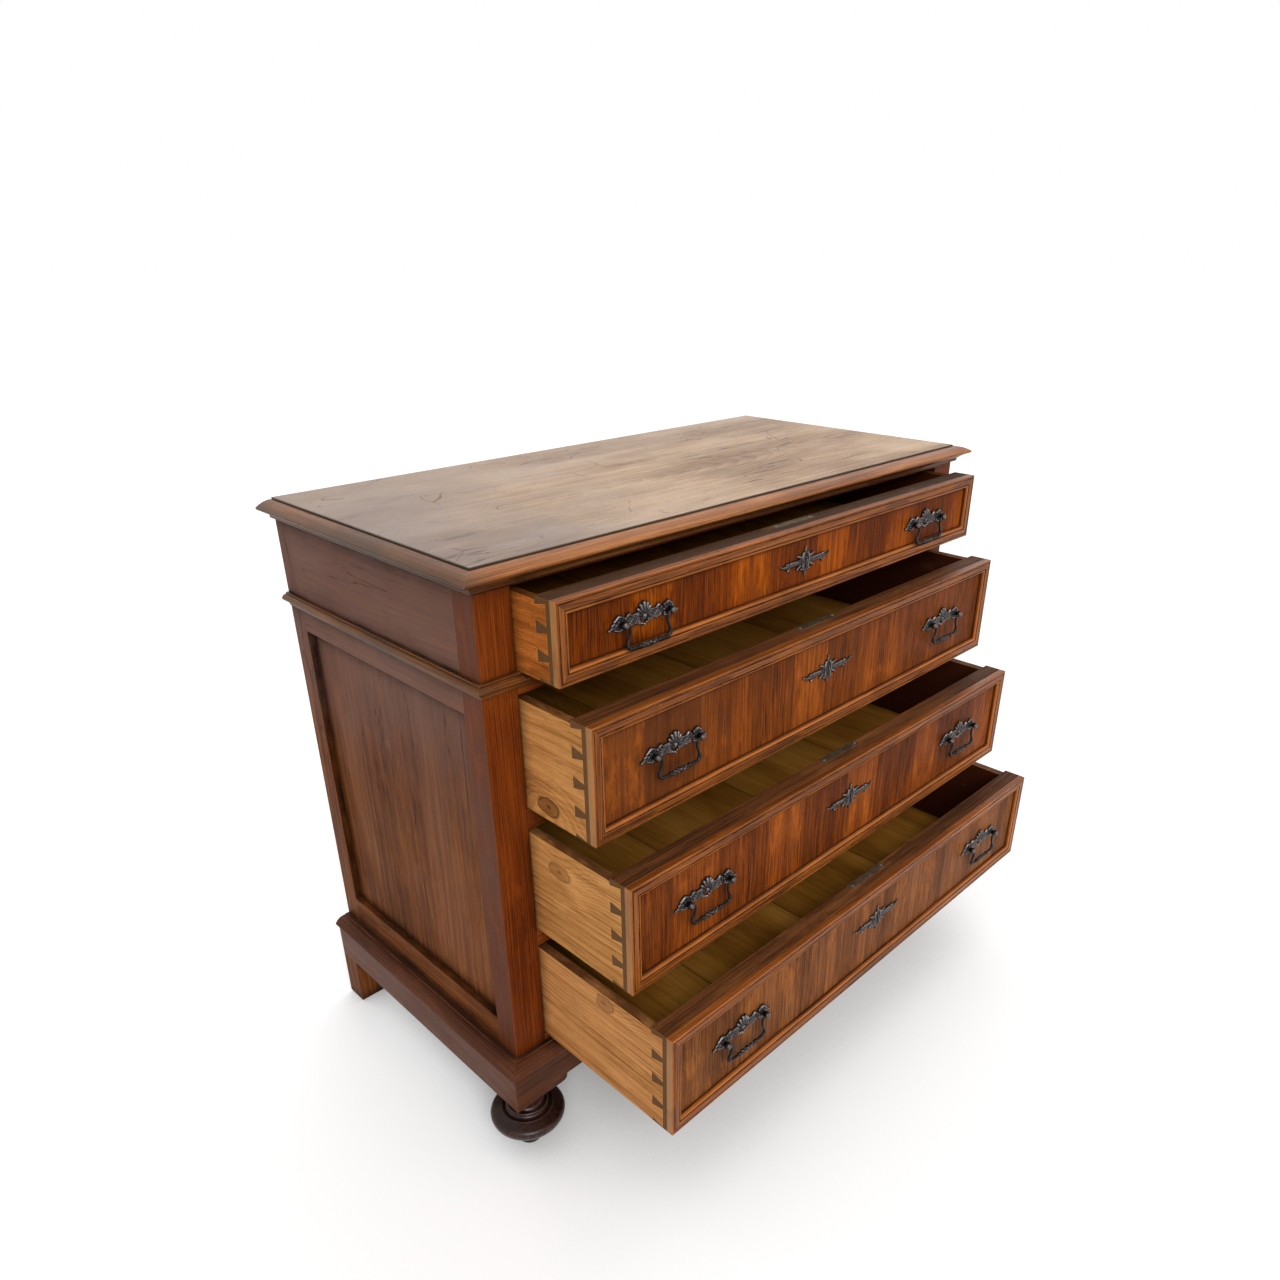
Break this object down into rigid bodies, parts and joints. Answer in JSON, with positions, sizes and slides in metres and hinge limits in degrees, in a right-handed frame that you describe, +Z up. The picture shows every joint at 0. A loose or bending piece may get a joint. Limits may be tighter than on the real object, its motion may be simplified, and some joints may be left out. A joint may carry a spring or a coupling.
{
  "type": "chest of drawers",
  "caption": "Free-standing walnut chest: panelled case on a moulded plinth with turned feet, holding sliding dovetailed drawers with mitred mouldings, locks and swinging bail pulls.",
  "frame": {"origin": "middle of the footprint, on the floor, with the drawers standing ajar as in the picture", "axes": "+X to the viewer's right along the front, +Y from the front to the back, +Z up"},
  "size_m": [1.255, 0.8453, 1],
  "materials": {
    "walnut": "old waxed walnut, satin",
    "walnut_top": "worn, sun-faded walnut, dull",
    "walnut_sides": "dry greyed walnut, dull",
    "walnut_veneer": "striped walnut veneer, satin",
    "pine": "aged bare pine, dull",
    "steel": "dark aged iron, dull",
    "cast_metal": "blackened cast metal with rubbed highlights"
  },
  "bodies": {
    "carcase": {"top_board": "walnut_top", "top_moulding": "walnut", "waist_moulding": "walnut", "front_rails": "walnut", "front_posts": "walnut", "rear_stiles": "walnut_sides", "side_rails": "walnut_sides", "side_panels": "walnut_sides", "drawer_runners": "pine", "back_rails": "pine", "back_boards": "pine", "plinth_boards": "walnut", "plinth_moulding": "walnut", "plinth_blocks": "pine", "bun_feet": "walnut", "rear_legs": "walnut"},
    "drawer_1": {"drawer_1_front_core": "walnut", "drawer_1_front_frame": "walnut", "drawer_1_veneer_panel": "walnut_veneer", "drawer_1_sides_and_back": "pine", "drawer_1_bottom": "pine", "drawer_1_lock": "steel", "drawer_1_escutcheon": "cast_metal", "drawer_1_handle_plates": "cast_metal"},
    "drawer_1_bolt": {"drawer_1_lock_bolt": "steel"},
    "drawer_1_bail_left": {"drawer_1_bail_left": "cast_metal"},
    "drawer_1_bail_right": {"drawer_1_bail_right": "cast_metal"},
    "drawer_2": {"drawer_2_front_core": "walnut", "drawer_2_front_frame": "walnut", "drawer_2_veneer_panel": "walnut_veneer", "drawer_2_sides_and_back": "pine", "drawer_2_bottom": "pine", "drawer_2_lock": "steel", "drawer_2_escutcheon": "cast_metal", "drawer_2_handle_plates": "cast_metal"},
    "drawer_2_bolt": {"drawer_2_lock_bolt": "steel"},
    "drawer_2_bail_left": {"drawer_2_bail_left": "cast_metal"},
    "drawer_2_bail_right": {"drawer_2_bail_right": "cast_metal"},
    "drawer_3": {"drawer_3_front_core": "walnut", "drawer_3_front_frame": "walnut", "drawer_3_veneer_panel": "walnut_veneer", "drawer_3_sides_and_back": "pine", "drawer_3_bottom": "pine", "drawer_3_lock": "steel", "drawer_3_escutcheon": "cast_metal", "drawer_3_handle_plates": "cast_metal"},
    "drawer_3_bolt": {"drawer_3_lock_bolt": "steel"},
    "drawer_3_bail_left": {"drawer_3_bail_left": "cast_metal"},
    "drawer_3_bail_right": {"drawer_3_bail_right": "cast_metal"},
    "drawer_4": {"drawer_4_front_core": "walnut", "drawer_4_front_frame": "walnut", "drawer_4_veneer_panel": "walnut_veneer", "drawer_4_sides_and_back": "pine", "drawer_4_bottom": "pine", "drawer_4_lock": "steel", "drawer_4_escutcheon": "cast_metal", "drawer_4_handle_plates": "cast_metal"},
    "drawer_4_bolt": {"drawer_4_lock_bolt": "steel"},
    "drawer_4_bail_left": {"drawer_4_bail_left": "cast_metal"},
    "drawer_4_bail_right": {"drawer_4_bail_right": "cast_metal"}
  },
  "joints": [
    {"name": "drawer_1_slide", "type": "slide", "parent": "carcase", "child": "drawer_1", "axis": [0, -1, 0], "range_m": [-0.088, 0.312]},
    {"name": "drawer_1_bolt_throw", "type": "slide", "parent": "drawer_1", "child": "drawer_1_bolt", "axis": [0, 0, 1], "range_m": [0, 0.01]},
    {"name": "drawer_1_bail_left_swing", "type": "hinge", "parent": "drawer_1", "child": "drawer_1_bail_left", "pos_m": [-0.36, -0.21385, 0.903], "axis": [-1, 0, 0], "range_deg": [0, 100]},
    {"name": "drawer_1_bail_right_swing", "type": "hinge", "parent": "drawer_1", "child": "drawer_1_bail_right", "pos_m": [0.36, -0.21385, 0.903], "axis": [-1, 0, 0], "range_deg": [0, 100]},
    {"name": "drawer_2_slide", "type": "slide", "parent": "carcase", "child": "drawer_2", "axis": [0, -1, 0], "range_m": [-0.147, 0.253]},
    {"name": "drawer_2_bolt_throw", "type": "slide", "parent": "drawer_2", "child": "drawer_2_bolt", "axis": [0, 0, 1], "range_m": [0, 0.01]},
    {"name": "drawer_2_bail_left_swing", "type": "hinge", "parent": "drawer_2", "child": "drawer_2_bail_left", "pos_m": [-0.36, -0.27285, 0.726], "axis": [-1, 0, 0], "range_deg": [0, 100]},
    {"name": "drawer_2_bail_right_swing", "type": "hinge", "parent": "drawer_2", "child": "drawer_2_bail_right", "pos_m": [0.36, -0.27285, 0.726], "axis": [-1, 0, 0], "range_deg": [0, 100]},
    {"name": "drawer_3_slide", "type": "slide", "parent": "carcase", "child": "drawer_3", "axis": [0, -1, 0], "range_m": [-0.213, 0.187]},
    {"name": "drawer_3_bolt_throw", "type": "slide", "parent": "drawer_3", "child": "drawer_3_bolt", "axis": [0, 0, 1], "range_m": [0, 0.01]},
    {"name": "drawer_3_bail_left_swing", "type": "hinge", "parent": "drawer_3", "child": "drawer_3_bail_left", "pos_m": [-0.36, -0.33885, 0.5105], "axis": [-1, 0, 0], "range_deg": [0, 100]},
    {"name": "drawer_3_bail_right_swing", "type": "hinge", "parent": "drawer_3", "child": "drawer_3_bail_right", "pos_m": [0.36, -0.33885, 0.5105], "axis": [-1, 0, 0], "range_deg": [0, 100]},
    {"name": "drawer_4_slide", "type": "slide", "parent": "carcase", "child": "drawer_4", "axis": [0, -1, 0], "range_m": [-0.291, 0.109]},
    {"name": "drawer_4_bolt_throw", "type": "slide", "parent": "drawer_4", "child": "drawer_4_bolt", "axis": [0, 0, 1], "range_m": [0, 0.01]},
    {"name": "drawer_4_bail_left_swing", "type": "hinge", "parent": "drawer_4", "child": "drawer_4_bail_left", "pos_m": [-0.36, -0.41685, 0.2965], "axis": [-1, 0, 0], "range_deg": [0, 100]},
    {"name": "drawer_4_bail_right_swing", "type": "hinge", "parent": "drawer_4", "child": "drawer_4_bail_right", "pos_m": [0.36, -0.41685, 0.2965], "axis": [-1, 0, 0], "range_deg": [0, 100]}
  ]
}
